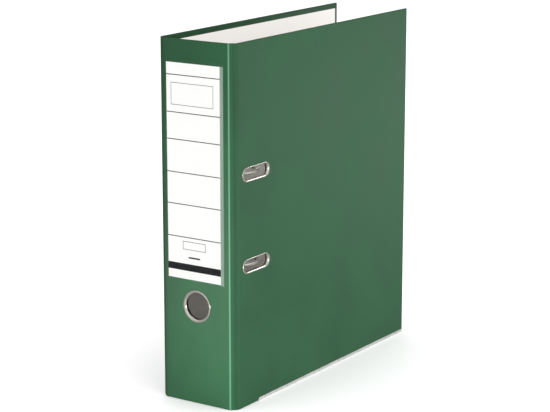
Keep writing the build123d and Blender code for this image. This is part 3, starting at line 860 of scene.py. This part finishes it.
def eyelet(name):
    """A pressed eyelet round one of the front cover's slots, wider at its ends than its sides."""
    low, high = box_mm(name)
    centre = (low + high) / 2
    wide = (high.y - low.y - SLOT_SIZE[0]) / 2
    proud, through = high.x - COVER_FACE, COVER_FACE - low.x
    section = rounded_flange(0.0, wide, proud, through, EYELET_METAL, EYELET_THROAT)
    loops = []
    for out, rise in section:
        share = out / wide
        length = SLOT_SIZE[0] + share * (high.y - low.y - SLOT_SIZE[0])
        width = SLOT_SIZE[1] + share * (high.z - low.z - SLOT_SIZE[1])
        loops.append([
            Vector((COVER_FACE + rise, centre.y + y, centre.z + z)) * MM
            for y, z in stadium(length, width)
        ])
    points, faces = swept(loops, closed=True)
    made = piece(f"{name}_pressed", points, faces, "nickel", smooth_under=FITTING_UNDER)
    # Painted shade down the eyelet's throat.
    painted_shade = [EYELET_PAINTED_SHADE * (rise < EYELET_SHADE_BELOW) for _, rise in section]
    mark(made, [value for value in painted_shade for _ in loops[0]])
    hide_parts(name)
    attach(made, "front_cover")


GUARD_METAL = 0.3
GUARD_SLANT = 1.6
GUARD_ROUND = 0.45
GUARD_BEAD = (1.05, 0.22, 0.5)
BEAD_STEPS = 4


def guard(name, side, body):
    """The steel edging crimped under a cover, with a rolled bead along it and slanted ends."""
    low, high = box_mm(name)
    outer, inner = (high.x, low.x) if side > 0 else (low.x, high.x)
    wide, tall, metal = abs(outer - inner), high.z, GUARD_METAL
    at, deep, half = GUARD_BEAD
    face = [(0.0, tall)]
    for i in range(2 * BEAD_STEPS + 1):
        up = 1 - i / BEAD_STEPS
        face.append((deep * math.cos(math.pi / 2 * up) ** 2, at + half * up))
    face += arc((GUARD_ROUND, GUARD_ROUND), GUARD_ROUND, 180, 270, CORNER_STEPS)
    mirrored = [(wide - x, z) for x, z in reversed(face)]
    back = [(metal, tall), (metal, metal)]
    section = face + mirrored + [(wide - x, z) for x, z in back] + list(reversed(back))
    loops = []
    for end, turn in ((low.y, 1), (high.y, -1)):
        loops.append([
            Vector((outer - side * x, end + turn * GUARD_SLANT * z / tall, z)) * MM
            for x, z in section
        ])
    points, faces = swept(loops)
    made = piece(f"{name}_rolled", points, faces, "guard_steel", smooth_under=FITTING_UNDER)
    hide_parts(name)
    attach(made, body)


WIRE_SIDES = 10
TURN_STEPS = 20


def tube(name, path, radius, slot):
    """A round wire along a path of points, in metres."""
    loops, across = [], None
    for i, point in enumerate(path):
        ahead = (path[min(i + 1, len(path) - 1)] - path[max(i - 1, 0)]).normalized()
        if across is None:
            across = ahead.orthogonal().normalized()
        across = (across - ahead * across.dot(ahead)).normalized()
        other = ahead.cross(across)
        loops.append([
            point + (across * math.cos(a) + other * math.sin(a)) * radius
            for a in (2 * math.pi * k / WIRE_SIDES for k in range(WIRE_SIDES))
        ])
    points, faces = swept(loops)
    return piece(name, points, faces, slot, smooth_under=ROUND_UNDER)


def coil(name, replaced, axis, wire, turns, body):
    """A wound spring in the space its CAD node keeps for it, axis 1 along Y and 2 along Z."""
    low, high = box_mm(replaced)
    centre = (low + high) / 2
    first, second = (axis + 1) % 3, (axis + 2) % 3
    radius = (high[first] - low[first]) / 2 - wire
    start, run = low[axis] + wire, high[axis] - low[axis] - 2 * wire
    path = []
    for i in range(turns * TURN_STEPS + 1):
        angle = 2 * math.pi * i / TURN_STEPS
        point = centre.copy()
        point[first] += radius * math.cos(angle)
        point[second] += radius * math.sin(angle)
        point[axis] = start + run * i / (turns * TURN_STEPS)
        path.append(point * MM)
    made = tube(name, path, wire * MM, "spring_steel")
    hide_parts(replaced)
    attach(made, body)


ring()
for eyelet_name in EYELETS:
    eyelet(eyelet_name)
guard("front_edge_guard", 1, "front_cover")
guard("back_edge_guard", -1, "back_cover")
coil("arch_spring_coil", "arch_spring", axis=2, wire=0.5, turns=12, body="back_cover")
coil("catch_spring_coil", "catch_spring", axis=1, wire=0.22, turns=4, body="compressor")

# ---------------------------------------------------------------- carried-over CAD nodes

slots = {entry["node"]: entry["material_slot"] for entry in frame["record"]["subparts"]}
for name, cad in frame["nodes"].items():
    cad.data.materials.clear()
    cad.data.materials.append(BY_SLOT[slots[name]])

# ---------------------------------------------------------------- stage

FLOOR_SIZE = 12.0
FLOOR_SHADE = 0.002
FLOOR_GREYS = (0.9, 0.92)
FLOOR_ROUGH = 0.8
FLOOR_LAMP = ((0.0, 1.0, 3.0), (0.0, 1.0, 0.0), (7.0, 7.0), 175.0)


def floor():
    """A plain white floor with a lamp that lights nothing else, unseen in reflections."""
    bpy.ops.mesh.primitive_plane_add(size=FLOOR_SIZE, location=(0, 0, 0))
    made = bpy.context.object
    made.name = "floor"
    material, tree, shader = new_material("floor")
    shade = noise(tree, position(tree), FLOOR_SHADE, detail=2.0)
    tree.links.new(ramp(tree, shade, *FLOOR_GREYS), shader.inputs["Base Color"])
    shader.inputs["Roughness"].default_value = FLOOR_ROUGH
    made.data.materials.append(material)
    made.visible_glossy = False
    only(area_light("floor_lamp", *FLOOR_LAMP), [made])


def only(lamp, lit):
    """Let a lamp light nothing but the given objects."""
    receivers = bpy.data.collections.new(f"{lamp.name}_lights")
    for made in lit:
        receivers.objects.link(made)
    lamp.light_linking.receiver_collection = receivers


def area_light(name, where, target, size, watts):
    """A rectangular softbox that faces a point, unseen by the camera."""
    data = bpy.data.lights.new(name, "AREA")
    data.shape = "RECTANGLE"
    data.size, data.size_y = size
    data.energy = watts
    lamp = bpy.data.objects.new(name, data)
    lamp.location = where
    direction = Vector(target) - Vector(where)
    lamp.rotation_euler = direction.to_track_quat("-Z", "Y").to_euler()
    lamp.visible_camera = False
    bpy.context.scene.collection.objects.link(lamp)
    return lamp


def surroundings(towards, dim, bright):
    """A soft white world, brightest towards one direction and dimmest away from it."""
    world = bpy.data.worlds.new("studio")
    bpy.context.scene.world = world
    world.use_nodes = True
    tree = world.node_tree
    direction = node(tree, "ShaderNodeTexCoord").outputs["Generated"]
    inputs = {0: direction, 1: Vector(towards).normalized()}
    facing = node(tree, "ShaderNodeVectorMath", inputs, operation="DOT_PRODUCT")
    inputs = {"Value": facing.outputs["Value"], "From Min": -1.0, "To Min": dim, "To Max": bright}
    level = node(tree, "ShaderNodeMapRange", inputs)
    background = tree.nodes["Background"]
    background.inputs["Color"].default_value = (1.0, 1.0, 1.0, 1.0)
    tree.links.new(level.outputs["Result"], background.inputs["Strength"])


# Each lamp: what it lights, where it is, what it faces, its two sides in metres, and its watts.
LAMPS = {
    "crest_strip": ("films", (0.35, -2.0, 0.7), (0.03, -0.14, 0.16), (0.25, 1.4), 5.5),
    "low_front": ("spine", (-0.03, -0.42, 0.04), (0.0, -0.14, 0.07), (0.3, 0.06), 0.8),
    "behind_right": ("films", (0.5, 1.0, 0.05), (0.04, 0.14, 0.1), (0.35, 0.35), 0.9),
    "low_right": ("films", (0.6, -0.1, 0.03), (0.04, 0.0, 0.03), (0.5, 0.1), 1.8),
    "over_top": ("linings", (0.5, -0.1, 0.9), (-0.04, 0.0, 0.3), (0.4, 0.4), 6.5),
    "glint": ("metals", (0.9, -0.35, 0.05), (0.04, -0.11, 0.12), (0.12, 0.3), 3.0),
    "rim_light": ("metals", (0.3, 0.75, 0.75), (0.04, -0.11, 0.17), (0.3, 0.3), 2.2),
}
# The world's brightest direction, its strength opposite it and its strength there.
WORLD = ((0.66, -0.56, 0.5), 0.15, 1.15)


def ending(*ends):
    """The scene's objects whose names end one of these ways."""
    return [made for made in bpy.data.objects if made.name.endswith(ends)]


def studio():
    """Soft light from the front right, and small lamps that each light one kind of surface."""
    surroundings(*WORLD)
    films = ending("_film")
    groups = {
        "films": films,
        "spine": [made for made in films if "spine" in made.name],
        "linings": ending("_lining"),
        "metals": ending("_rolled", "_pressed"),
    }
    for name, (lit, *settings) in LAMPS.items():
        only(area_light(name, *settings), groups[lit])
    bpy.context.scene.view_settings.view_transform = "Standard"


CAMERA_AZIMUTH = math.radians(33.77)
CAMERA_ELEVATION = math.radians(13.16)
CAMERA_TARGET = Vector((0.0, -0.0218, 0.153))
CAMERA_DISTANCE = 1.697
CAMERA_LENS = 122.8
CAMERA_SENSOR = 36.0


def camera():
    """The camera at the photograph's viewing angle."""
    across = math.cos(CAMERA_ELEVATION)
    back = Vector((
        math.sin(CAMERA_AZIMUTH) * across, -math.cos(CAMERA_AZIMUTH) * across,
        math.sin(CAMERA_ELEVATION),
    ))
    data = bpy.data.cameras.new("camera")
    data.sensor_width = CAMERA_SENSOR
    data.lens = CAMERA_LENS
    made = bpy.data.objects.new("camera", data)
    made.location = CAMERA_TARGET + back * CAMERA_DISTANCE
    made.rotation_euler = (-back).to_track_quat("-Z", "Y").to_euler()
    bpy.context.scene.collection.objects.link(made)
    bpy.context.scene.camera = made


floor()
studio()
camera()
